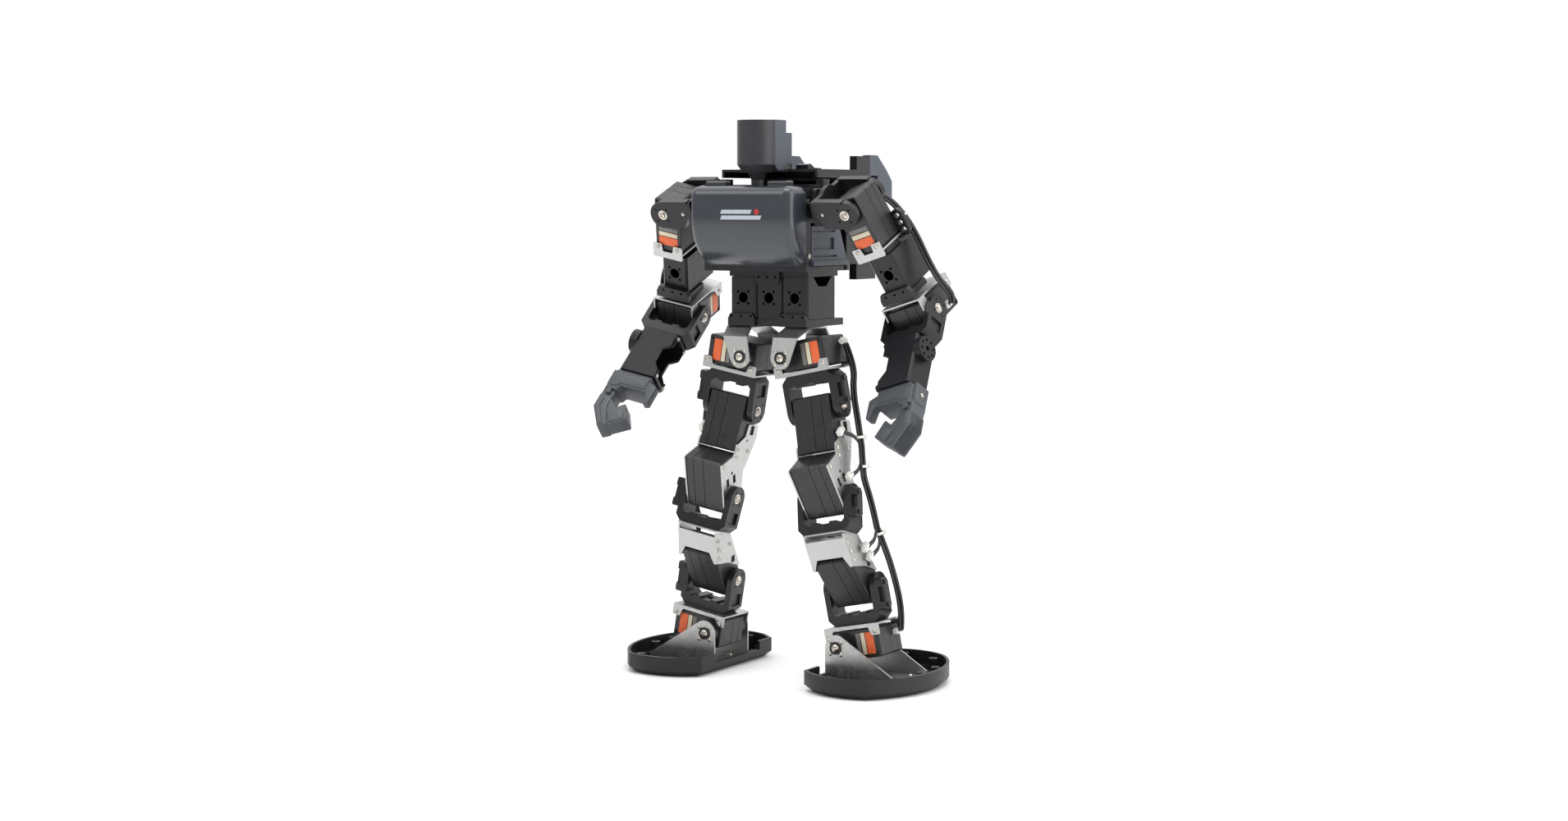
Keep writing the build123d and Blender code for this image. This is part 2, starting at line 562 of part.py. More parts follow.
def back_cover():
    """Rounded case behind the chassis that covers the control board, with a flat deck on top."""
    def shell(inset, front):
        body = block((inset - 37.0, 37.0 - inset), (front, 82.0 - inset), (298.0 + inset, 360.0 - inset))
        rear = [edge for edge in body.edges() if abs(edge.center().Y - 82.0 + inset) < 0.1]
        return fillet(rear, COVER_ROUND - inset)

    body = shell(0.0, 30.3) - shell(COVER_WALL, 29.0)
    deck = block((-40.0, 40.0), (-10.5, 50.0), (360.0, 366.0))
    deck -= block((-38.0, 38.0), (-12.0, 48.0), (359.0, 364.2))
    for sign in (-1, 1):
        deck += block(sorted((sign * 34.0, sign * 40.0)), (30.3, 50.0), (355.5, 361.0))
        body += block(sorted((sign * 30.0, sign * 36.0)), (52.0, 80.0), (286.5, 299.0))
        body += block(sorted((sign * 31.0, sign * 37.0)), (50.5, 70.0), (358.0, 376.0))
    deck -= block((14.4, 25.6), (0.4, 21.0), (363.0, 370.0))
    deck -= rod_z(0, NECK_Y, (355.0, 370.0), 21.6)
    for z in (312.0, 322.0, 332.0, 342.0):
        body -= block((-20, 20), (79, 84), (z, z + 2.4))
    return body + deck


def control_board():
    plate = block((-31.0, 31.0), (36.0, 37.6), (303.0, 352.0))
    chips = [block((-8.0, 6.0), (37.6, 40.0), (318.0, 332.0))]
    for step in range(6):
        x = -25.0 + 10.0 * step
        chips.append(block((x - 3.6, x + 3.6), (37.6, 44.5), (340.0, 348.5)))
        chips.append(block((x - 3.6, x + 3.6), (37.6, 44.5), (305.0, 312.0)))
    return solids(plate, *chips)


def battery_pack():
    cells = [rod_x((-29.0, 29.0), y, 309.0, 8.6) for y in (-12.0, 5.4)]
    wrap = block((-29.0, 29.0), (-12.0, 5.4), (300.4, 317.6))
    return wrap + cells[0] + cells[1]


def waist_spacers():
    low, high = 259.4, 289.6
    shapes = []
    for x in (-WAIST_PITCH, 0, WAIST_PITCH):
        body = servo_box((x - 10.7, x + 10.7), (-11.3, 28.5), (low, high))
        cut = outline([(-3.0, high + 1), (-3.0, high), (3.9, 282.8),
                       (15.2, 282.8), (22.5, high), (22.5, high + 1)])
        body -= prism_x(cut, (x - 20, x + 20))
        shapes.append(body)
    return solids(*shapes)


def waist_brackets():
    """Black mounting strips below and above the waist spacers, with screw holes."""
    lower = block((-33.0, 33.0), (-11.4, 38.0), (254.2, 259.3))
    for sign in (-1, 1):
        middle = sign * WAIST_PITCH
        tab = [(middle - 11.3, 254.2), (middle + 11.3, 254.2), (middle + 11.3, 259.6),
               (middle + 9.3, 263.2), (middle - 9.3, 263.2), (middle - 11.3, 259.6)]
        lower += prism_y(outline(tab), (-14.0, -11.35))
        for step in (-8.2, 0.0, 8.2):
            lower -= rod_y(middle + step, (-15, -10.6), 261.2, TAB_HOLE)
        for x in HANGER_SCREWS:
            lower -= rod_z(sign * (HIP_ROLL[0] + x), 0, (250, 260), YOKE_HOLE)
    top = block((-33.0, 33.0), (-11.4, 30.0), (289.8, 293.9))
    tab = outline([(-10.5, 293.9), (10.5, 293.9), (10.5, 287.0), (8.5, 284.6), (-8.5, 284.6), (-10.5, 287.0)])
    top += prism_y(tab, (-14.0, -11.35))
    for step in (-7.0, 0.0, 7.0):
        top -= rod_y(step, (-15, -10.6), 289.6, TAB_HOLE)
    return solids(lower, top)


def back_handle():
    """Carrying handle: two side brackets on the back cover and a bar between them."""
    side = outline([(70.5, 377.0), (82.0, 377.0), (96.0, 366.0), (104.0, 358.0), (104.0, 346.0),
                    (94.0, 346.0), (84.0, 352.0), (82.3, 340.0), (82.3, 362.0), (70.5, 362.0)])
    body = rod_x((-36.0, 36.0), 99.0, 351.0, 3.6)
    for sign in (-1, 1):
        body += prism_x(side, sorted((sign * 30.5, sign * 36.5)))
    body += block((-36.0, 36.0), (82.3, 85.0), (340.0, 350.0))
    return body


def torso_screws():
    """Case screws of the chassis: a washer and a domed head each."""
    shapes = []
    for sign in (-1, 1):
        for y, z in ((-27.0, 343.0), (-27.0, 305.0)):
            shapes.append(rod_x(sorted((sign * 42.5, sign * 43.6)), y, z, 1.8))
        for x, z in ((sign * 28.0, 304.0), (sign * 28.0, 330.0)):
            shapes.append(rod_y(x, (82.0, 83.2), z, 2.2))
    return solids(*shapes)


def power_switch():
    """Rocker of the power switch, on a pin across the deck."""
    face = outline([(-9.6, -1.2), (-9.0, 4.6), (-5.0, 5.4), (0.0, 2.6), (9.6, 2.4), (9.6, -1.2)])
    return prism_x(face, (-4.9, 4.9))


def head_cover():
    """Rounded front half of the head on its neck post."""
    half = block((-20, 20), (-20, 0.0), (-10, 60))
    body = (rod_z(0, 0, (5.5, 36.8), HEAD_R) - rod_z(0, 0, (5.5, 35.2), HEAD_R - 1.8)) & half
    jaw = Pos(0, 0, 2.75) * (Cone(10.5, HEAD_R, 5.5) - Pos(0, 0, 1.2) * Cone(8.2, 12.6, 5.5))
    body += jaw & half
    body += rod_z(0, 0, (0.0, 1.6), 10.5)
    body += Pos(0, 0, -2.5) * Cone(4.6, 7.0, 5.0)
    body += rod_z(0, 0, (-9.8, -4.9), 4.6)
    body -= rod_z(0, 0, (-12.0, -6.8), PIN_R + RUNNING)
    return body


def head_back():
    body = block((-HEAD_R, HEAD_R), (0.15, 14.8), (1.7, 37.0))
    body = chamfer(body.edges().filter_by(Axis.X).sort_by(Axis.Z)[:2], 3.2)
    body -= block((1.8 - HEAD_R, HEAD_R - 1.8), (-1.0, 13.0), (4.0, 35.2))
    rear = block((-10.0, 10.0), (14.0, 32.0), (6.3, 28.4))
    rear = chamfer(rear.edges().filter_by(Axis.Z).sort_by(Axis.Y)[-2:], 2.0)
    return body + rear


# ---- placing ----
def leg_frames(side):
    """Frames of the leg's bodies, in outboard coordinates."""
    roll = LEG_ROLL[side]
    thigh = THIGH_PITCH[side]
    drop = (HIP_ROLL[2] - ANKLE_HEIGHT) / cos(radians(roll)) + HIP_PITCH[2] + ANKLE_ROLL[2]
    shin = degrees(acos((drop - THIGH * cos(radians(thigh))) / SHIN))
    hip = Pos(*HIP_ROLL) * Rot(0, -roll, 0)
    upper = hip * Pos(*HIP_PITCH) * Rot(thigh, 0, 0)
    lower = upper * Pos(0, 0, -THIGH) * Rot(shin - thigh, 0, 0)
    ankle = lower * Pos(0, 0, -SHIN) * Rot(-shin, 0, 0)
    foot = ankle * Pos(*ANKLE_ROLL) * Rot(0, roll, 0)
    return {"hip": hip, "thigh": upper, "shin": lower, "ankle": ankle, "foot": foot}


def arm_frames(side):
    """Frames of the arm's bodies, in outboard coordinates."""
    shoulder = Pos(0, SHOULDER[1], SHOULDER[2]) * Rot(ARM_PITCH[side], 0, 0)
    upper = shoulder * Pos(SHOULDER[0], 0, 0) * Rot(0, -ARM_ROLL[side], 0)
    fore = upper * Pos(*ELBOW) * Rot(-ELBOW_FLEX[side], 0, 0)
    return {"shoulder": shoulder, "upper_arm": upper, "forearm": fore}


def leg_nodes():
    hip_yoke = Pos(*HIP_PITCH) * yoke(26.1, clamp=(0.0, 22.0))
    knee_yoke = Rot(180 - KNEE_YOKE_LEAN, 0, 0) * yoke(25.6, clamp=(-5.0, 16.0), front=1)
    ankle_yoke = Rot(180, 0, 0) * yoke(25.5, clamp=(-4.6, 18.0), front=1)
    at_ankle = Pos(*ANKLE_ROLL)
    ankle_servo = Rot(180 + ANKLE_SERVO_LEAN, 0, 0) * PLAIN_SERVO
    nodes = {
        "hip": {"hip_roll_servo": solids(ACROSS * BOSSED_SERVO), "hip_bracket": solids(roll_bracket(-1)),
                "hip_yoke": solids(hip_yoke)},
        "thigh": thigh_parts(),
        "shin": {"knee_yoke": solids(knee_yoke), "shin_frame": solids(shin_frame()),
                 "ankle_pitch_servo": solids(Pos(0, 0, -SHIN) * ankle_servo)},
        "ankle": {"ankle_yoke": solids(ankle_yoke), "ankle_bracket": solids(at_ankle * roll_bracket(1)),
                  "ankle_roll_servo": solids(at_ankle * (ACROSS * BOSSED_SERVO))},
        "foot": {"foot_tray": solids(foot_tray()), "foot_bracket": solids(foot_bracket())},
    }
    return nodes


def arm_nodes():
    elbow_yoke = Rot(180, 0, 0) * yoke(25.8, half_out=20.8, front=1)
    return {
        "shoulder": {"shoulder_yoke": solids(shoulder_yoke())},
        "upper_arm": {"arm_servos": arm_servos(), "arm_brackets": arm_brackets(), "arm_spacer": arm_spacer()},
        "forearm": {"elbow_yoke": solids(elbow_yoke), "forearm_shell": solids(forearm_shell()),
                    "hand": solids(hand())},
    }


def lead_tube(frames, route, r):
    """Bundle of servo leads: straight runs joined by tangent arcs, through points on the bodies."""
    points = [(frames[body] * Pos(*place)).position for body, place in route]
    runs = [b - a for a, b in zip(points, points[1:])]
    radii = []
    for before, after in zip(runs, runs[1:]):
        half_turn = radians(before.get_angle(after)) / 2
        radii.append(0.45 * min(before.length, after.length) / tan(half_turn))
    path = FilletPolyline(*points, radius=radii)
    start = Plane(origin=path @ 0, z_dir=path % 0)
    tube = sweep(start * Circle(r), path=path)
    print("lead bends", [round(radius, 1) for radius in radii], "length", round(path.length, 1))
    return solids(tube)


LEG_ROUTE = [("hip", (35.2, 9.0, 3.0)), ("hip", (39.5, 9.0, -14.0)), ("hip", (37.5, 3.5, -31.0)),
             ("thigh", (26.2, 6.5, -12.0)), ("thigh", (24.0, 11.5, -30.0)), ("thigh", (24.0, 9.5, -47.0)),
             ("shin", (26.0, 9.0, 8.0)), ("shin", (26.4, 9.5, -10.0)), ("shin", (23.5, 12.0, -29.0)),
             ("shin", (24.5, 13.5, -47.0)), ("ankle", (26.5, 10.0, 3.0)), ("ankle", (26.5, 12.5, -17.0)),
             ("ankle", (25.5, 10.0, -33.0))]
ARM_ROUTE = [("shoulder", (62.0, 25.8, 4.0)), ("upper_arm", (5.0, 25.5, -8.0)),
             ("upper_arm", (12.5, 23.0, -26.0)), ("upper_arm", (16.5, 19.0, -42.0)),
             ("upper_arm", (19.0, 14.0, -58.0)), ("upper_arm", (22.0, 10.0, -74.0)),
             ("upper_arm", (24.4, 14.0, -90.0))]
LEAD_R = 2.0


def build():
    """All nodes in the standing pose: node name to its solids."""
    nodes = {
        "chest_cover": solids(chest_cover()),
        "torso_frame": solids(torso_frame()),
        "side_covers": side_covers(),
        "back_cover": solids(back_cover()),
        "control_board": control_board(),
        "battery_pack": solids(battery_pack()),
        "neck_servo": solids(Pos(0, NECK_Y, 336.75) * (VERTICAL * PLAIN_SERVO)),
        "waist_spacers": waist_spacers(),
        "waist_brackets": waist_brackets(),
        "back_handle": solids(back_handle()),
        "torso_screws": torso_screws(),
        "power_switch": solids(Pos(20, 10.7, 364.6) * power_switch()),
        "head_cover": solids(Pos(0, NECK_Y, 363.5) * head_cover()),
        "head_back": solids(Pos(0, NECK_Y, 363.5) * head_back()),
    }
    pitch_servo = Pos(31.25, SHOULDER[1], SHOULDER[2]) * (BACKWARD * PLAIN_SERVO)
    nodes["shoulder_pitch_servos"] = solids(pitch_servo, mirror(pitch_servo, about=Plane.YZ))
    hung = Pos(*HIP_ROLL) * hanger()
    nodes["hip_hangers"] = solids(hung, mirror(hung, about=Plane.YZ))
    limbs = {**leg_nodes(), **arm_nodes()}
    for side in ("left", "right"):
        frames = {**leg_frames(side), **arm_frames(side)}
        limb = {name: [frames[body] * shape for shape in shapes]
                for body, pieces in limbs.items() for name, shapes in pieces.items()}
        limb["leg_leads"] = lead_tube(frames, LEG_ROUTE, LEAD_R)
        limb["arm_leads"] = lead_tube(frames, ARM_ROUTE, LEAD_R)
        for name, shapes in limb.items():
            if side == "right":
                shapes = [mirror(shape, about=Plane.YZ) for shape in shapes]
            nodes[side + "_" + name] = shapes
    return nodes


NODES = build()
BOXES = [shape.bounding_box() for shapes in NODES.values() for shape in shapes]
LOW = [min(getattr(box.min, axis) for box in BOXES) for axis in "XYZ"]
HIGH = [max(getattr(box.max, axis) for box in BOXES) for axis in "XYZ"]
ORIGIN = ((LOW[0] + HIGH[0]) / 2, (LOW[1] + HIGH[1]) / 2, LOW[2])
print("origin", ORIGIN, "size", [high - low for low, high in zip(LOW, HIGH)])

os.makedirs("parts", exist_ok=True)
TO_ORIGIN = Pos(-ORIGIN[0], -ORIGIN[1], -ORIGIN[2])
for name, shapes in NODES.items():
    export_step(Compound(children=[TO_ORIGIN * shape for shape in shapes]), "parts/" + name + ".step")
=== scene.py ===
import json
import math

import bmesh
import bpy
from mathutils import Matrix, Vector


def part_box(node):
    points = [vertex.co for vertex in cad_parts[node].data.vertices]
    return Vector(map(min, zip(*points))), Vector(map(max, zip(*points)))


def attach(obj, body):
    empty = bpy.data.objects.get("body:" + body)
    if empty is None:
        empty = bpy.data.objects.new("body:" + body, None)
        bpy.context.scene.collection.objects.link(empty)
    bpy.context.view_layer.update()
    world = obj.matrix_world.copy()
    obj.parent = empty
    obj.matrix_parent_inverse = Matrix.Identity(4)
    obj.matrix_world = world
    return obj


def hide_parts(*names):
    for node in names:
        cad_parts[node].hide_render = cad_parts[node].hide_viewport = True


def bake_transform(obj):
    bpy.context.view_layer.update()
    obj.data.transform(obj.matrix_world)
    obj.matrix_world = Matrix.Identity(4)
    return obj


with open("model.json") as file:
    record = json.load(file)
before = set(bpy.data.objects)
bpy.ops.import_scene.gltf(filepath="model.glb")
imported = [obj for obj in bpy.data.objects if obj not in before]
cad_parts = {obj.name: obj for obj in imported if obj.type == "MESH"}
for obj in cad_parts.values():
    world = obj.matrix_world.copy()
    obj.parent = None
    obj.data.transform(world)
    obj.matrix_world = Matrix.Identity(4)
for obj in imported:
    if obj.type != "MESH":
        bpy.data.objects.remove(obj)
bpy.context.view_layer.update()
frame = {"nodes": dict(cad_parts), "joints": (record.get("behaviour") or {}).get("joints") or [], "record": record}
NODES = frame["nodes"]
JOINTS = {joint["name"]: joint for joint in frame["joints"]}
MM = 0.001
SIDES = {"left": 1, "right": -1}

# ---- sizes of the design that the details follow, in millimetres ----
NECK = Vector((0.0, -25.8, 360.0))       # head joint, from the mid-plane of the legs and the floor
SERVO_HALF = 15.25
ARM_OUT = 21.4
ELBOW_ARM_OUT = 20.8
PLATE_OUT = 16.6
FRONT_STRAP = 23.3
BRACKET_FACE = 17.1                      # outer face of the bent brackets on a servo
BOSS_FACE = 23.4                         # bottom of the recess in a roll servo's wide boss
AXIS_RECESS = 0.6                        # depth of the recess for the screw on an output shaft
KNEE_YOKE_LEAN = 27.5
HIP_PITCH = (11.79, -2.33, -39.97)
ANKLE_ROLL = (-11.79, 1.56, -39.42)
ELBOW = (0.0, -1.83, -89.56)
SHOULDER_CROSS = 75.64
SOLE = -27.69                            # floor, from the ankle roll axis

# ---- screw places, in the bodies' own axes ----
BRACKET_SCREWS = ((30.6, 8.2), (-7.2, 8.2))                        # X, and Z above or below the roll axis
THIGH_SCREWS = ((-7.4, -30.1), (6.4, -29.9), (-6.8, -35.8), (-20.3, -44.2))
SHIN_SCREWS = ((-19.1, -27.4), (-3.6, -35.8), (-18.0, -34.7), (-17.4, -41.7))
FOOT_POSTS = ((58.0, -2.0), (57.0, 20.0), (12.0, 57.0), (40.0, 49.0), (40.0, -47.0), (12.0, -52.0))
FOOT_PLATE_SCREWS = ((2.0, -14.0), (2.0, 14.0), (40.0, -14.0), (40.0, 14.0))
FOREARM_SCREWS = ((-8.2, -63.4), (-8.2, -28.4), (8.2, -63.4), (8.2, -28.4))
HANGER_RING = 4.3
FOOT_RING = 4.4

HOME = Vector(JOINTS["head_yaw"]["pos_m"]) - NECK * MM    # mid-plane and floor of the design, in the frame


# ---- body frames ----
def basis(origin, x, y, z):
    """Millimetres in a body's own axes, to metres in the row frame."""
    m = Matrix([[x[i], y[i], z[i], 0.0] for i in range(3)] + [[0, 0, 0, 1.0]])
    return Matrix.Translation(Vector(origin)) @ m @ Matrix.Scale(MM, 4)


def limb_frames(side):
    """Frames of one side's bodies: X outboard, Y back, Z up along the limb, mirrored on the right."""
    s = SIDES[side]

    def at(joint):
        return Vector(JOINTS[side + "_" + joint]["pos_m"])

    def axis(joint, sign):
        return Vector(JOINTS[side + "_" + joint]["axis"]) * s * sign

    def third(a, b):
        return a.cross(b) * s

    frames = {}
    back = Vector((0, 1, 0))
    out = axis("hip_pitch", -1)
    frames["hip"] = basis(at("hip_roll"), out, back, third(out, back))
    frames["ankle"] = basis(at("ankle_pitch"), out, back, third(out, back))
    for body, top, low in (("thigh", "hip_pitch", "knee_pitch"), ("shin", "knee_pitch", "ankle_pitch")):
        up = (at(top) - at(low)).normalized()
        frames[body] = basis(at(top), out, third(up, out), up)
    frames["foot"] = basis(at("ankle_roll"), Vector((s, 0, 0)), back, Vector((0, 0, 1)))
    out = Vector((s, 0, 0))
    back = axis("shoulder_roll", -1)
    frames["shoulder"] = basis(at("shoulder_pitch") - out * 50 * MM, out, back, third(out, back))
    drop = at("elbow_pitch") - at("shoulder_roll") - back * ELBOW[1] * MM
    up = -drop.normalized()
    out = third(back, up)
    frames["upper_arm"] = basis(at("shoulder_roll"), out, back, up)
    mounts = {mount["name"]: mount for mount in frame["record"]["mounts"]}
    disc = mounts[side + "_forearm_disc"]
    out = Vector(disc["axis"])
    arm = (Vector(disc["pos_m"]) - at("elbow_pitch") - out * 20.2 * MM).normalized()
    across = third(out, arm)
    reach = math.hypot(3.0, 36.5)
    low, part = -3.0 / reach, -36.5 / reach
    back = arm * low - across * part
    up = arm * part + across * low
    frames["forearm"] = basis(at("elbow_pitch"), out, back, up)
    return frames


FRAMES = {side: limb_frames(side) for side in SIDES}
TORSO = Matrix.Translation(HOME) @ Matrix.Scale(MM, 4)


def turn_x(angle):
    return Matrix.Rotation(math.radians(angle), 4, "X")


def turn_y(angle):
    return Matrix.Rotation(math.radians(angle), 4, "Y")


def turn_z(angle):
    return Matrix.Rotation(math.radians(angle), 4, "Z")


def move(x, y, z):
    return Matrix.Translation((x, y, z))


# ---- materials ----
def shader(name, color, rough, metal=0.0, coat=0.0, coat_rough=0.1, sheen=0.0, ior=1.5):
    material = bpy.data.materials.new(name)
    material.use_nodes = True
    node = material.node_tree.nodes["Principled BSDF"]
    node.inputs["Base Color"].default_value = (*color, 1)
    node.inputs["Roughness"].default_value = rough
    node.inputs["Metallic"].default_value = metal
    node.inputs["Coat Weight"].default_value = coat
    node.inputs["Coat Roughness"].default_value = coat_rough
    node.inputs["Sheen Weight"].default_value = sheen
    node.inputs["IOR"].default_value = ior
    material.diffuse_color = (*color, 1)
    return material, node


def noise(tree, scale, detail=3.0, stretch=None):
    coords = tree.nodes.new("ShaderNodeTexCoord")
    source = coords.outputs["Object"]
    if stretch:
        mapping = tree.nodes.new("ShaderNodeMapping")
        mapping.inputs["Scale"].default_value = stretch
        tree.links.new(source, mapping.inputs["Vector"])
        source = mapping.outputs["Vector"]
    node = tree.nodes.new("ShaderNodeTexNoise")
    node.inputs["Scale"].default_value = scale
    node.inputs["Detail"].default_value = detail
    tree.links.new(source, node.inputs["Vector"])
    return node.outputs["Fac"]


def ramp(tree, source, low, high, start=0.35, end=0.65):
    """Number that runs from low to high as the source does."""
    node = tree.nodes.new("ShaderNodeMapRange")
    node.inputs["From Min"].default_value = start
    node.inputs["From Max"].default_value = end
    node.inputs["To Min"].default_value = low
    node.inputs["To Max"].default_value = high
    tree.links.new(source, node.inputs["Value"])
    return node.outputs["Result"]


def tint(tree, source, dark, light):
    node = tree.nodes.new("ShaderNodeValToRGB")
    node.color_ramp.elements[0].position = 0.3
    node.color_ramp.elements[1].position = 0.72
    node.color_ramp.elements[0].color = (*dark, 1)
    node.color_ramp.elements[1].color = (*light, 1)
    tree.links.new(source, node.inputs["Fac"])
    return node.outputs["Color"]


def surface(name, color, rough, spread=0.06, variation=0.14, cloud=45.0, grain=2600.0, bump=0.12,
            edge=0.00035, stretch=None, **more):
    """Material with cloudy colour and roughness, fine grain, and softly rounded edges."""
    material, node = shader(name, color, rough, **more)
    tree = material.node_tree
    clouds = noise(tree, cloud, 4.0, stretch)
    dark = [c * (1 - variation) for c in color]
    light = [min(c * (1 + variation), 1.0) for c in color]
    tree.links.new(tint(tree, clouds, dark, light), node.inputs["Base Color"])
    marks = noise(tree, cloud * 9, 5.0, stretch)
    tree.links.new(ramp(tree, marks, rough - spread, rough + spread), node.inputs["Roughness"])
    bevel = tree.nodes.new("ShaderNodeBevel")
    bevel.samples = 4
    bevel.inputs["Radius"].default_value = edge
    relief = tree.nodes.new("ShaderNodeBump")
    relief.inputs["Strength"].default_value = bump
    relief.inputs["Distance"].default_value = 0.00008
    tree.links.new(noise(tree, grain, 2.0, stretch), relief.inputs["Height"])
    tree.links.new(bevel.outputs["Normal"], relief.inputs["Normal"])
    tree.links.new(relief.outputs["Normal"], node.inputs["Normal"])
    return material


MATERIALS = {
    "chest_gloss": surface("chest_gloss", (0.03, 0.034, 0.042), 0.2, spread=0.03, variation=0.05,
                           bump=0.02, edge=0.0005, coat=0.25, coat_rough=0.12),
    "black_plastic": surface("black_plastic", (0.009, 0.009, 0.011), 0.34, bump=0.2, ior=1.44),
    "grey_blue_plastic": surface("grey_blue_plastic", (0.055, 0.065, 0.085), 0.4, bump=0.12),
    "head_plastic": surface("head_plastic", (0.021, 0.022, 0.025), 0.42, bump=0.2),
    "circuit_board": surface("circuit_board", (0.02, 0.09, 0.04), 0.4),
    "battery_wrap": surface("battery_wrap", (0.03, 0.06, 0.15), 0.25),
    "servo_case": surface("servo_case", (0.015, 0.015, 0.017), 0.36, spread=0.08, variation=0.22,
                          bump=0.35, grain=1500.0),
    "aluminium_sheet": surface("aluminium_sheet", (0.47, 0.47, 0.465), 0.38, spread=0.05,
                               variation=0.04, metal=1.0, bump=0.1, grain=4200.0, edge=0.0003),
    "steel_screw": surface("steel_screw", (0.62, 0.58, 0.52), 0.24, metal=1.0, bump=0.04,
                           edge=0.00015),
    "forearm_gloss": surface("forearm_gloss", (0.01, 0.01, 0.012), 0.36, spread=0.02, bump=0.01,
                             ior=1.34),
    "hand_plastic": surface("hand_plastic", (0.05, 0.055, 0.063), 0.46, bump=0.3, grain=1800.0),
    "foot_plastic": surface("foot_plastic", (0.009, 0.009, 0.011), 0.42, bump=0.4, grain=1300.0, ior=1.42),
    "lead_sleeve": surface("lead_sleeve", (0.012, 0.012, 0.013), 0.42, bump=0.05),
}
LABELS = {
    "orange": surface("label_orange", (0.72, 0.12, 0.03), 0.42, variation=0.05, bump=0.02, edge=0.0001),
    "cream": surface("label_cream", (0.66, 0.58, 0.42), 0.45, variation=0.05, bump=0.02, edge=0.0001),
    "grey": surface("label_grey", (0.16, 0.15, 0.14), 0.4, variation=0.05, bump=0.02, edge=0.0001),
    "white": surface("white_nylon", (0.78, 0.77, 0.73), 0.38, variation=0.04, bump=0.05, edge=0.0002),
    "pale": surface("badge_pale", (0.42, 0.46, 0.5), 0.32, variation=0.04, bump=0.02, edge=0.0001),
    "red": surface("badge_red", (0.5, 0.02, 0.02), 0.32, variation=0.04, bump=0.02, edge=0.0001),
}

SLOT_OF = {entry["node"]: entry["material_slot"] for entry in frame["record"]["subparts"]}
for node_name, node_object in NODES.items():
    finish = MATERIALS[SLOT_OF[node_name]]
    for place in range(max(1, len(node_object.material_slots))):
        if place < len(node_object.material_slots):
            node_object.material_slots[place].material = finish
        else:
            node_object.data.materials.append(finish)


# ---- mesh tools ----
def lathe(profile, segments=24):
    """Mesh turned about Z from (radius, height) pairs; it starts and ends on the axis."""
    mesh = bmesh.new()
    rings = []
    for r, z in profile:
        if r < 1e-6:
            rings.append([mesh.verts.new((0, 0, z))])
        else:
            angles = [2 * math.pi * i / segments for i in range(segments)]
            rings.append([mesh.verts.new((r * math.cos(a), r * math.sin(a), z)) for a in angles])
    for low, high in zip(rings, rings[1:]):
        for i in range(segments):
            j = (i + 1) % segments
            corners = [low[i % len(low)], low[j % len(low)], high[j % len(high)], high[i % len(high)]]
            unique = list(dict.fromkeys(corners))
            if len(unique) > 2:
                mesh.faces.new(unique)
    bmesh.ops.recalc_face_normals(mesh, faces=mesh.faces)
    return mesh


def as_mesh(name, mesh):
    data = bpy.data.meshes.new(name)
    mesh.to_mesh(data)
    mesh.free()
    return data


def prism(points, low, high, bevel=0.0):
    """Mesh of an outline in (X, Y) between two heights, with bevelled edges."""
    mesh = bmesh.new()
    base = [mesh.verts.new((x, y, low)) for x, y in points]
    face = mesh.faces.new(base)
    made = bmesh.ops.extrude_face_region(mesh, geom=[face])
    for vert in [item for item in made["geom"] if isinstance(item, bmesh.types.BMVert)]:
        vert.co.z = high
    bmesh.ops.recalc_face_normals(mesh, faces=mesh.faces)
    if bevel:
        bmesh.ops.bevel(mesh, geom=mesh.edges[:], offset=bevel, segments=2, affect="EDGES", profile=0.6)
    return mesh


def carve(data, tools):
    """The mesh with other meshes cut out of it."""
    tool = bmesh.new()
    for piece in tools:
        tool.from_mesh(piece)
    cutter = bpy.data.objects.new("cutter", as_mesh("cutter", tool))
    body = bpy.data.objects.new("body", data)
    for thing in (cutter, body):
        bpy.context.scene.collection.objects.link(thing)
    modifier = body.modifiers.new("recess", "BOOLEAN")
    modifier.object = cutter
    modifier.operation = "DIFFERENCE"
    modifier.solver = "EXACT"
    modifier.use_self = True
    bpy.context.view_layer.update()
    result = bpy.data.meshes.new_from_object(body.evaluated_get(bpy.context.evaluated_depsgraph_get()))
    bpy.data.objects.remove(cutter)
    bpy.data.objects.remove(body)
    return result


def cross_bars(reach, width, low, high):
    """Two crossed bars, the shape of a Phillips recess."""
    half = width / 2
    bars = []
    for angle in (0, 90):
        bar = prism([(-reach, -half), (reach, -half), (reach, half), (-reach, half)], low, high)
        bar.transform(turn_z(angle))
        bars.append(as_mesh("bar", bar))
    return bars


def screw_mesh(r, washer=0.0):
    """Domed screw head with a cross recess, sitting on Z = 0, with or without a washer."""
    foot = 0.35 if washer else 0.0
    profile = [(0, foot), (r, foot), (r, foot + 0.25 * r), (0.86 * r, foot + 0.48 * r),
               (0.5 * r, foot + 0.66 * r), (0, foot + 0.72 * r)]
    data = as_mesh("screw", lathe(profile))
    top = foot + 0.72 * r
    data = carve(data, cross_bars(0.62 * r, 0.24 * r, top - 0.42 * r, top + 1))
    if washer:
        both = bmesh.new()
        both.from_mesh(data)
        edge = [(0, 0), (washer, 0), (washer, 0.28), (washer - 0.15, 0.4), (0, 0.4)]
        both.from_mesh(as_mesh("washer", lathe(edge, 28)))
        data = as_mesh("screw", both)
    return data


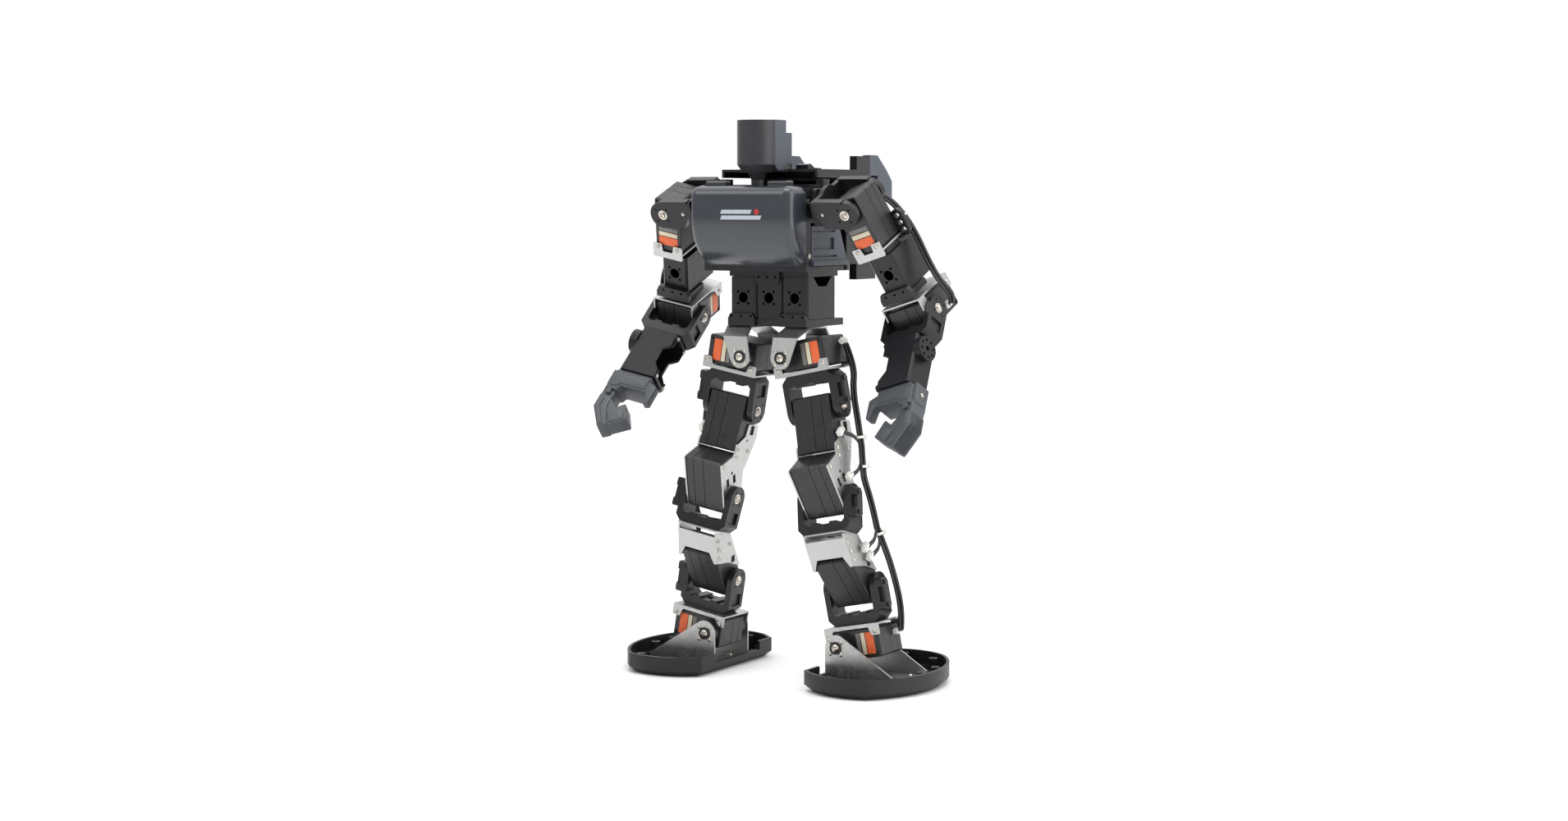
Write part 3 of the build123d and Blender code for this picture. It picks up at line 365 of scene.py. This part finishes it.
class Batch:
    """Copies of small meshes on one body, gathered into one piece."""

    def __init__(self, name, body, material, slot):
        self.name, self.body, self.material, self.slot = name, body, material, slot
        self.mesh = bmesh.new()

    def add(self, data, matrix):
        copy = data.copy()
        copy.transform(matrix)
        if matrix.determinant() < 0:
            copy.flip_normals()
        self.mesh.from_mesh(copy)
        bpy.data.meshes.remove(copy)

    def finish(self, smooth=35.0):
        data = as_mesh(self.name, self.mesh)
        piece = bpy.data.objects.new(self.name, data)
        bpy.context.scene.collection.objects.link(piece)
        data.materials.append(self.material)
        shade(data, smooth)
        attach(piece, self.body)
        return piece


def shade(data, angle):
    """Smooth shading, sharp where faces meet at more than the angle."""
    for face in data.polygons:
        face.use_smooth = True
    mesh = bmesh.new()
    mesh.from_mesh(data)
    limit = math.radians(angle)
    for edge in mesh.edges:
        edge.smooth = len(edge.link_faces) == 2 and edge.calc_face_angle(0.0) < limit
    mesh.to_mesh(data)
    mesh.free()


SMALL_SCREW = screw_mesh(1.55)
CASE_SCREW = screw_mesh(1.9)
AXIS_SCREW = screw_mesh(2.5, washer=3.7)
RING_SCREW = screw_mesh(3.0)

OUT_X = turn_y(90)          # turns a piece's Z to +X
IN_X = turn_y(-90)
FRONT = turn_x(90)          # Z to -Y
REAR = turn_x(-90)          # Z to +Y
DOWN = turn_x(180)
ACROSS = ((1, OUT_X), (-1, IN_X))
FORE_AND_AFT = ((-1, FRONT), (1, REAR))


# ---- screws ----
def ring_places(reach):
    return [(sx * reach, sy * reach) for sx in (-1, 1) for sy in (-1, 1)]


def add_screws(side):
    frames = FRAMES[side]
    steel = MATERIALS["steel_screw"]

    def batch(body):
        return Batch(side + "_" + body + "_screws", side + "_" + body, steel, "steel_screw")

    def yoke_screws(group, m, half_out):
        for sign, face in ACROSS:
            group.add(AXIS_SCREW, m @ move(sign * (half_out - AXIS_RECESS), 0, 0) @ face)

    def bracket_screws(group, m, up):
        for x, z in BRACKET_SCREWS:
            for sign, face in FORE_AND_AFT:
                group.add(SMALL_SCREW, m @ move(x, sign * BRACKET_FACE, up * z) @ face)

    def plate_screws(group, m, places):
        for sign, face in ACROSS:
            for y, z in places:
                group.add(SMALL_SCREW, m @ move(sign * PLATE_OUT, y, z) @ face)

    hip = batch("hip")
    bracket_screws(hip, frames["hip"], -1)
    yoke_screws(hip, frames["hip"] @ move(*HIP_PITCH), ARM_OUT)
    axis_screws(hip, frames["hip"])
    hip.finish()

    thigh = batch("thigh")
    plate_screws(thigh, frames["thigh"], THIGH_SCREWS)
    thigh.finish()

    shin = batch("shin")
    knee = frames["shin"] @ turn_x(180 - KNEE_YOKE_LEAN)
    yoke_screws(shin, knee, ARM_OUT)
    plate_screws(shin, frames["shin"], SHIN_SCREWS)
    shin.finish()

    ankle = batch("ankle")
    yoke_screws(ankle, frames["ankle"] @ turn_x(180), ARM_OUT)
    roll = frames["ankle"] @ move(*ANKLE_ROLL)
    bracket_screws(ankle, roll, 1)
    axis_screws(ankle, roll)
    ankle.finish()

    foot = batch("foot")
    ring_screws(foot, frames["foot"], FOOT_RING)
    for x, y in FOOT_POSTS:
        foot.add(SMALL_SCREW, frames["foot"] @ move(x, y, SOLE + 8.2))
    for x, y in FOOT_PLATE_SCREWS:
        foot.add(CASE_SCREW, frames["foot"] @ move(x, y, SOLE + 5.9))
    foot.finish()

    shoulder = batch("shoulder")
    for sign, face in FORE_AND_AFT:
        shoulder.add(AXIS_SCREW, frames["shoulder"] @ move(SHOULDER_CROSS, sign * ARM_OUT, 0) @ face)
        shoulder.add(SMALL_SCREW, frames["shoulder"] @ move(58.0, sign * 21.2, 0.5) @ face)
    shoulder.finish()

    upper = batch("upper_arm")
    for x in (-8.0, 8.0):
        for sign, face in FORE_AND_AFT:
            upper.add(SMALL_SCREW, frames["upper_arm"] @ move(x, sign * BRACKET_FACE, -29.0) @ face)
    for sign, face in ACROSS:
        place = move(sign * PLATE_OUT, 27.2, ELBOW[2] + 8.0)
        upper.add(SMALL_SCREW, frames["upper_arm"] @ place @ face)
    upper.finish()

    fore = batch("forearm")
    yoke_screws(fore, frames["forearm"] @ turn_x(180), ELBOW_ARM_OUT)
    for y, z in FOREARM_SCREWS:
        fore.add(SMALL_SCREW, frames["forearm"] @ move(-15.0, y, z) @ IN_X)
    fore.add(SMALL_SCREW, frames["forearm"] @ move(20.2, 0, -74.0) @ OUT_X)
    fore.finish()


def axis_screws(group, m):
    """Screw in the middle of each wide boss of a roll servo."""
    for sign, face in FORE_AND_AFT:
        group.add(RING_SCREW, m @ move(0, sign * BOSS_FACE, 0) @ face)


def ring_screws(group, m, reach):
    """Four screws round the roll axis, front and rear."""
    for sign, face in FORE_AND_AFT:
        for x, z in ring_places(reach):
            group.add(SMALL_SCREW, m @ move(x, sign * FRONT_STRAP, z) @ face)


# ---- labels ----
def label_meshes(width):
    """Blank label blocks along the far end of a servo's face: (colour, mesh)."""
    half = width / 2
    spans = (("grey", -16.4, -13.2), ("cream", -20.4, -17.2), ("orange", -27.6, -21.0))
    for color, low, high in spans:
        points = [(-half, low), (half, low), (half, high), (-half, high)]
        yield color, as_mesh("label", prism(points, 0.0, 0.12, 0.04))


def add_labels(side):
    frames = FRAMES[side]
    along_x = Matrix(((0, -1, 0, 0), (1, 0, 0, 0), (0, 0, 1, 0), (0, 0, 0, 1)))
    faces = [("hip", frames["hip"] @ move(0, -SERVO_HALF, 0) @ FRONT @ along_x),
             ("ankle", frames["ankle"] @ move(*ANKLE_ROLL) @ move(0, -SERVO_HALF, 0) @ FRONT @ along_x),
             ("upper_arm", frames["upper_arm"] @ move(0, -SERVO_HALF, 0) @ FRONT)]
    elbow = frames["upper_arm"] @ move(-SERVO_HALF, ELBOW[1], ELBOW[2]) @ IN_X @ turn_z(180)
    faces.append(("upper_arm", elbow))
    for color in ("grey", "cream", "orange"):
        for body in ("hip", "ankle", "upper_arm"):
            group = Batch(f"{side}_{body}_label_{color}", side + "_" + body, LABELS[color], "servo_case")
            for m in (m for place, m in faces if place == body):
                for kind, data in label_meshes(15.5):
                    if kind == color:
                        group.add(data, m)
            group.finish()


for limb_side in SIDES:
    add_screws(limb_side)
    add_labels(limb_side)

hanger_screws = Batch("hanger_screws", "torso", MATERIALS["steel_screw"], "steel_screw")
for limb_side in SIDES:
    hip_axis = Matrix.Translation(JOINTS[limb_side + "_hip_roll"]["pos_m"]) @ Matrix.Scale(MM, 4)
    ring_screws(hanger_screws, hip_axis, HANGER_RING)
hanger_screws.finish()


# ---- servo leads ----
STRANDS = ((0.0, 0.0), (1.7, 0.6), (-1.5, 1.0), (0.6, -1.8), (-0.7, 2.2), (1.3, 2.3))
STRAND_R = 0.85
LEG_ROUTE = [("hip", (35.2, 9.0, 3.0)), ("hip", (39.5, 9.0, -14.0)), ("hip", (37.5, 3.5, -31.0)),
             ("thigh", (26.2, 6.5, -12.0)), ("thigh", (24.0, 11.5, -30.0)), ("thigh", (24.0, 9.5, -47.0)),
             ("shin", (26.0, 9.0, 8.0)), ("shin", (26.4, 9.5, -10.0)), ("shin", (23.5, 12.0, -29.0)),
             ("shin", (24.5, 13.5, -47.0)), ("ankle", (26.5, 10.0, 3.0)), ("ankle", (26.5, 12.5, -17.0)),
             ("ankle", (25.5, 10.0, -33.0))]
ARM_ROUTE = [("shoulder", (62.0, 25.8, 4.0)), ("upper_arm", (5.0, 25.5, -8.0)),
             ("upper_arm", (12.5, 23.0, -26.0)), ("upper_arm", (16.5, 19.0, -42.0)),
             ("upper_arm", (19.0, 14.0, -58.0)), ("upper_arm", (22.0, 10.0, -74.0)),
             ("upper_arm", (24.4, 14.0, -90.0))]


ANKLE_PLUG_END = ("ankle", (24.0, 10.0, -35.5))     # the bundle turns into the ankle roll servo's plug
ELBOW_PLUG_END = ("upper_arm", (19.2, 14.0, -94.0))


def strand_mesh(routes, r):
    """Tubes along smooth splines, one for each list of control points, as one mesh in metres."""
    curve = bpy.data.curves.new("strand", "CURVE")
    curve.dimensions = "3D"
    curve.bevel_depth = r * MM
    curve.bevel_resolution = 3
    curve.resolution_u = 8
    curve.use_fill_caps = True
    for points in routes:
        spline = curve.splines.new("NURBS")
        spline.points.add(len(points) - 1)
        for point, place in zip(spline.points, points):
            point.co = (*place, 1)
        spline.order_u = 3
        spline.use_endpoint_u = True
    thing = bpy.data.objects.new("strand", curve)
    data = bpy.data.meshes.new_from_object(thing)
    bpy.data.objects.remove(thing)
    return data


def lead_piece(name, data, side, ends, body, node):
    """Lead bundle between two bodies, or on one, standing for the plain tube there."""
    piece = bpy.data.objects.new(name, data)
    bpy.context.scene.collection.objects.link(piece)
    data.materials.clear()
    data.materials.append(MATERIALS["lead_sleeve"])
    shade(data, 50)
    if ends:
        body_a, body_b, start, end = ends
        tuple(start)
        tuple(end)
        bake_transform(piece)
    else:
        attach(piece, side + "_" + body)
    if node:
        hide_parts(side + "_" + node)
    return piece


def bundle(frames, route):
    """Control points of each strand along part of a route."""
    paths = []
    for number, (dx, dy) in enumerate(STRANDS):
        path = []
        for step, (body, (x, y, z)) in enumerate(route):
            swing = 0.5 * math.sin(1.7 * step + 2.1 * number)
            path.append(frames[body] @ Vector((x + dx + swing, y + dy - swing, z)))
        paths.append(path)
    return paths


def add_leads(side):
    frames = FRAMES[side]
    route = LEG_ROUTE
    parts = (("hip", "thigh", route[:5], None), ("thigh", "shin", route[4:9], "leg_leads"),
             ("shin", "ankle", route[8:] + [ANKLE_PLUG_END], None))
    for body_a, body_b, stretch, node in parts:
        first = [place for body, place in stretch if body == body_a]
        last = [place for body, place in stretch if body == body_b]
        start, end = frames[body_a] @ Vector(first[-1]), frames[body_b] @ Vector(last[0])
        data = strand_mesh(bundle(frames, stretch), STRAND_R)
        lead_piece(f"{side}_{body_a}_leads", data, side, (body_a, body_b, start, end), None, node)

    arm = strand_mesh(bundle(frames, ARM_ROUTE + [ELBOW_PLUG_END]), STRAND_R)
    start = frames["shoulder"] @ Vector(ARM_ROUTE[0][1])
    end = frames["upper_arm"] @ Vector(ARM_ROUTE[1][1])
    ends = ("shoulder", "upper_arm", start, end)
    lead_piece(side + "_arm_leads_bundle", arm, side, ends, None, "arm_leads")


# plugs on the outboard faces: body, place, and the lead's way back into the bundle
PLUGS = (("thigh", (16.9, -5.0, -19.0), ((20.5, -2.0, -20.5), (24.5, 5.0, -23.0), (24.5, 10.5, -29.0))),
         ("thigh", (18.2, -2.0, -51.0), ((21.5, 1.0, -50.0), (24.5, 6.0, -46.5), (24.5, 10.0, -38.0))),
         ("shin", (18.2, -4.0, -37.0), ((21.5, 0.0, -37.0), (24.5, 6.0, -34.5), (24.0, 11.0, -28.5))),
         ("shin", (18.0, -1.0, -44.5), ((21.5, 3.0, -44.5), (24.5, 8.0, -41.5), (24.0, 12.0, -35.0))))
TIES = (("thigh", (24.6, 10.2, -24.0)), ("thigh", (24.4, 10.6, -45.0)), ("shin", (24.0, 12.8, -33.0)))


def tie_mesh():
    """Cable tie round a bundle along Z: a thin band, its head, and a cut tail."""
    band = bmesh.new()
    outer, inner, half = 3.7, 3.2, 0.9
    segments = 20
    rings = []
    for r, z in ((outer, -half), (outer, half), (inner, half), (inner, -half)):
        angles = [2 * math.pi * i / segments for i in range(segments)]
        rings.append([band.verts.new((r * math.cos(a), r * math.sin(a), z)) for a in angles])
    for low, high in zip(rings, rings[1:] + rings[:1]):
        for i in range(segments):
            j = (i + 1) % segments
            band.faces.new((low[i], low[j], high[j], high[i]))
    bmesh.ops.recalc_face_normals(band, faces=band.faces)
    head = prism([(3.1, -1.8), (5.6, -1.8), (5.6, 1.4), (3.1, 1.4)], -1.6, 1.6, 0.3)
    piece = as_mesh("head", head)
    band.from_mesh(piece)
    tail = prism([(3.9, 1.4), (4.8, 1.4), (5.1, 4.4), (4.2, 4.4)], -0.8, 0.8, 0.12)
    band.from_mesh(as_mesh("tail", tail))
    return as_mesh("tie", band)


def plug_mesh():
    """Three-pin plug housing with a latch ridge, lying along +Z from the servo's face."""
    body = prism([(-3.6, -1.9), (3.6, -1.9), (3.6, 1.9), (-3.6, 1.9)], 0.0, 3.6, 0.3)
    ridge = prism([(-2.2, 1.7), (2.2, 1.7), (2.2, 2.5), (-2.2, 2.5)], 0.4, 2.8, 0.2)
    mouth = prism([(-2.9, -1.2), (2.9, -1.2), (2.9, 1.2), (-2.9, 1.2)], 3.4, 4.2, 0.15)
    body.from_mesh(as_mesh("ridge", ridge))
    body.from_mesh(as_mesh("mouth", mouth))
    return as_mesh("plug", body)


TIE = tie_mesh()
PLUG = plug_mesh()


def add_plugs(side):
    frames = FRAMES[side]
    white = LABELS["white"]
    for body in ("thigh", "shin"):
        plugs = Batch(f"{side}_{body}_plugs", side + "_" + body, white, "lead_sleeve")
        tails = []
        for place, spot, way in PLUGS:
            if place != body:
                continue
            plugs.add(PLUG, frames[body] @ move(*spot) @ turn_x(35) @ OUT_X @ turn_z(90))
            start = Vector(spot) + Vector((3.6, 0, 0))
            for shift in (-1.4, 0.0, 1.4):
                along = [start + Vector((0, 0, shift))]
                along += [Vector(p) + Vector((0, 0, shift * 0.7)) for p in way]
                tails.append([frames[body] @ p for p in along])
        for place, spot in TIES:
            if place == body:
                plugs.add(TIE, frames[body] @ move(*spot) @ turn_z(20))
        plugs.finish(smooth=16)
        lead_piece(f"{side}_{body}_plug_leads", strand_mesh(tails, 0.62), side, None, body, None)
    arm = Batch(side + "_arm_plugs", side + "_upper_arm", white, "lead_sleeve")
    arm.add(TIE, frames["upper_arm"] @ move(12.0, 23.2, -25.0) @ turn_y(-20) @ turn_z(60))
    arm.add(PLUG, frames["upper_arm"] @ move(15.3, 14.0, -94.0) @ OUT_X @ turn_z(90))
    arm.finish(smooth=16)
    top = Batch(side + "_hip_plugs", side + "_hip", white, "lead_sleeve")
    top.add(PLUG, frames["hip"] @ move(33.5, 9.0, 6.5) @ turn_y(140) @ turn_z(90))
    top.finish(smooth=16)
    low = Batch(side + "_ankle_plugs", side + "_ankle", white, "lead_sleeve")
    low.add(PLUG, frames["ankle"] @ move(20.3, 10.0, -35.5) @ OUT_X @ turn_z(90))
    low.finish(smooth=16)


for limb_side in SIDES:
    add_leads(limb_side)
    add_plugs(limb_side)


# ---- hands: moulded hooks with bevelled edges, ribs and a knuckle pin ----
def upright_prism(points, low, high, bevel):
    """Mesh of an outline in (X, Z) between two depths along Y."""
    mesh = prism(points, -high, -low, bevel)
    mesh.transform(FRONT)
    return mesh


def rod_mesh(r, low, high, edge=0.3):
    """Rod along Z with bevelled ends."""
    return lathe([(0, low), (r - edge, low), (r, low + edge), (r, high - edge), (r - edge, high), (0, high)])


def hand_mesh():
    palm = [(-13.0, -66.1), (15.0, -66.1), (18.0, -69.0), (18.0, -84.0), (9.0, -84.0), (7.0, -80.0),
            (-13.0, -80.0)]
    finger = [(19.5, -79.0), (19.5, -101.0), (8.0, -117.0), (-10.5, -104.0), (-3.0, -92.0), (3.0, -97.0),
              (9.5, -91.0), (9.5, -79.0)]
    tip = [(19.5, -89.5), (19.5, -101.0), (8.0, -117.0), (2.0, -113.0), (9.5, -98.5), (9.5, -89.5)]
    thumb = [(-11.0, -69.5), (-20.0, -73.0), (-20.0, -88.0), (-16.0, -89.0), (-14.0, -80.0),
             (-11.0, -79.0)]
    cheek = [(-12.0, -68.0), (12.5, -68.0), (15.8, -71.0), (15.8, -81.0), (10.0, -81.0), (8.0, -78.0),
             (-12.0, -78.0)]
    outer_rib = [(18.4, -91.0), (18.4, -100.7), (8.2, -115.0), (5.4, -113.2), (14.8, -99.6),
                 (14.8, -91.0)]
    inner_rib = [(1.6, -99.0), (6.6, -103.6), (1.2, -110.4), (-7.6, -104.2), (-3.4, -97.4)]
    outboard = [(-66.6, -6.6), (-66.6, 6.6), (-79.0, 6.6), (-81.5, 4.4), (-81.5, -4.4), (-79.0, -6.6)]
    blocks = [
        upright_prism(palm, -8.9, 8.9, 0.9),
        upright_prism(finger, -6.9, 6.9, 0.9),
        upright_prism(tip, -7.8, 7.8, 0.9),
        upright_prism(thumb, -9.0, -2.0, 0.9),
        upright_prism(cheek, -9.5, -8.0, 0.5),
        upright_prism(cheek, 8.0, 9.5, 0.5),
    ]
    for low, high in ((-8.5, -7.0), (7.0, 8.5)):
        blocks.append(upright_prism(outer_rib, low, high, 0.4))
        blocks.append(upright_prism(inner_rib, low * 0.9, high * 0.9, 0.4))
    plate = prism(outboard, 16.5, 20.1, 0.8)
    plate.transform(Matrix(((0, 0, 1, 0), (0, 1, 0, 0), (1, 0, 0, 0), (0, 0, 0, 1))))
    bmesh.ops.recalc_face_normals(plate, faces=plate.faces)
    blocks.append(plate)
    pin = rod_mesh(2.4, -9.3, 9.3)
    pin.transform(move(14.4, 0, -86.0) @ FRONT)
    blocks.append(pin)
    whole = bmesh.new()
    for step in range(4):
        top, low = -92.6 - step, -93.1 - step
        ridge = [(9.0, top), (9.9, top), (9.9, low), (9.0, low)]
        blocks.append(upright_prism(ridge, -6.0, 6.0, 0.12))
    for block in blocks:
        whole.from_mesh(as_mesh("block", block))
    return as_mesh("hand", whole)


def add_hand(side):
    group = Batch(side + "_hand_shell", side + "_forearm", MATERIALS["hand_plastic"], "hand_plastic")
    group.add(HAND, FRAMES[side]["forearm"])
    piece = group.finish(smooth=30)
    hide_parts(side + "_hand")


# ---- lead clamp on each upper arm ----
def add_arm_clamp(side):
    edge = [(10.6, -17.0), (16.6, -15.5), (20.0, -19.0), (20.0, -33.0), (16.6, -36.5), (10.6, -35.0)]
    plate = as_mesh("plate", upright_prism(edge, 12.2, 15.6, 0.5))
    holes = []
    for z in (-20.5, -26.0, -31.5):
        hole = rod_mesh(1.9, -30, 0)
        hole.transform(move(15.2, 0, z) @ REAR @ DOWN)
        holes.append(as_mesh("hole", hole))
    group = Batch(side + "_arm_clamp", side + "_upper_arm", MATERIALS["black_plastic"], "black_plastic")
    group.add(carve(plate, holes), FRAMES[side]["upper_arm"])
    group.finish(smooth=25)


HAND = hand_mesh()
for limb_side in SIDES:
    add_hand(limb_side)
    add_arm_clamp(limb_side)


# ---- chest badge: plain bars, no lettering ----
def add_badge():
    face = (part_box("chest_cover")[0].y - HOME.y) / MM
    front = TORSO @ move(4.0, face - 0.02, 334.0) @ FRONT
    bars = Batch("chest_badge", "torso", LABELS["pale"], "chest_gloss")
    for x, width, low, high in ((-19.0, 25.0, 0.6, 3.4), (-19.0, 33.0, -3.4, -0.6)):
        slant = 1.2
        points = [(x, low), (x + width, low), (x + width + slant, high), (x + slant, high)]
        bars.add(as_mesh("bar", prism(points, 0.0, 0.12, 0.04)), front)
    bars.finish()
    dot = Batch("chest_badge_dot", "torso", LABELS["red"], "chest_gloss")
    disc = lathe([(0, 0), (1.9, 0), (1.9, 0.1), (1.8, 0.14), (0, 0.14)], 32)
    dot.add(as_mesh("dot", disc), front @ move(11, 2, 0))
    dot.finish()


add_badge()


# ---- floor, light and camera ----
def studio():
    floor_mesh = bpy.data.meshes.new("floor")
    reach = 6.0
    corners = [(-reach, -reach, 0), (reach, -reach, 0), (reach, reach, 0), (-reach, reach, 0)]
    floor_mesh.from_pydata(corners, [], [(0, 1, 2, 3)])
    floor = bpy.data.objects.new("floor", floor_mesh)
    bpy.context.scene.collection.objects.link(floor)
    pale, node = shader("floor_pale", (0.86, 0.86, 0.86), 0.6)
    tree = pale.node_tree
    clouds = tint(tree, noise(tree, 3.0), (0.85, 0.85, 0.85), (0.87, 0.87, 0.87))
    tree.links.new(clouds, node.inputs["Base Color"])
    floor_mesh.materials.append(pale)

    world = bpy.data.worlds.new("studio")
    world.use_nodes = True
    tree = world.node_tree
    coords = tree.nodes.new("ShaderNodeTexCoord")
    toward = tree.nodes.new("ShaderNodeVectorMath")
    toward.operation = "DOT_PRODUCT"
    toward.inputs[1].default_value = (0.1, 0.99, 0.0)
    tree.links.new(coords.outputs["Generated"], toward.inputs[0])
    height = tree.nodes.new("ShaderNodeSeparateXYZ")
    tree.links.new(coords.outputs["Generated"], height.inputs["Vector"])
    total = tree.nodes.new("ShaderNodeMath")
    total.operation = "ADD"
    tree.links.new(ramp(tree, toward.outputs["Value"], 0.42, 1.0, -0.5, 0.4), total.inputs[0])
    tree.links.new(ramp(tree, height.outputs["Z"], 0.0, 1.0, 0.45, 0.85), total.inputs[1])
    ray = tree.nodes.new("ShaderNodeLightPath")
    white = tree.nodes.new("ShaderNodeMath")
    white.operation = "MAXIMUM"
    tree.links.new(total.outputs["Value"], white.inputs[0])
    tree.links.new(ray.outputs["Is Camera Ray"], white.inputs[1])
    tree.links.new(white.outputs["Value"], tree.nodes["Background"].inputs["Strength"])
    tree.nodes["Background"].inputs["Color"].default_value = (1.0, 1.0, 1.0, 1)
    bpy.context.scene.world = world

    def lamp(name, place, target, size, power):
        light = bpy.data.lights.new(name, "AREA")
        light.shape = "RECTANGLE"
        light.size, light.size_y = size
        light.energy = power
        thing = bpy.data.objects.new(name, light)
        thing.location = place
        thing.rotation_euler = (Vector(target) - Vector(place)).to_track_quat("-Z", "Y").to_euler()
        bpy.context.scene.collection.objects.link(thing)

    lamp("key", (-0.9, -1.3, 1.3), (0, 0, 0.22), (0.9, 0.9), 6)
    lamp("top", (0.1, -0.3, 1.5), (0, 0, 0.2), (1.0, 0.5), 7)
    lamp("side", (1.5, 0.1, 0.75), (0, 0, 0.25), (1.4, 1.4), 12)


def camera():
    azimuth, elevation = math.radians(31.53), math.radians(4.99)
    away, aim = 1.734, HOME + Vector((5.98, 0.0, 193.13)) * MM
    back = Vector((math.sin(azimuth) * math.cos(elevation), -math.cos(azimuth) * math.cos(elevation),
                   math.sin(elevation)))
    data = bpy.data.cameras.new("camera")
    data.sensor_width = 36.0
    data.lens = 55.25
    data.clip_start = 0.01
    thing = bpy.data.objects.new("camera", data)
    thing.location = aim + back * away
    thing.rotation_euler = (-back).to_track_quat("-Z", "Y").to_euler()
    bpy.context.scene.collection.objects.link(thing)
    bpy.context.scene.camera = thing


studio()
camera()

view = bpy.context.scene.view_settings
view.view_transform = "Standard"
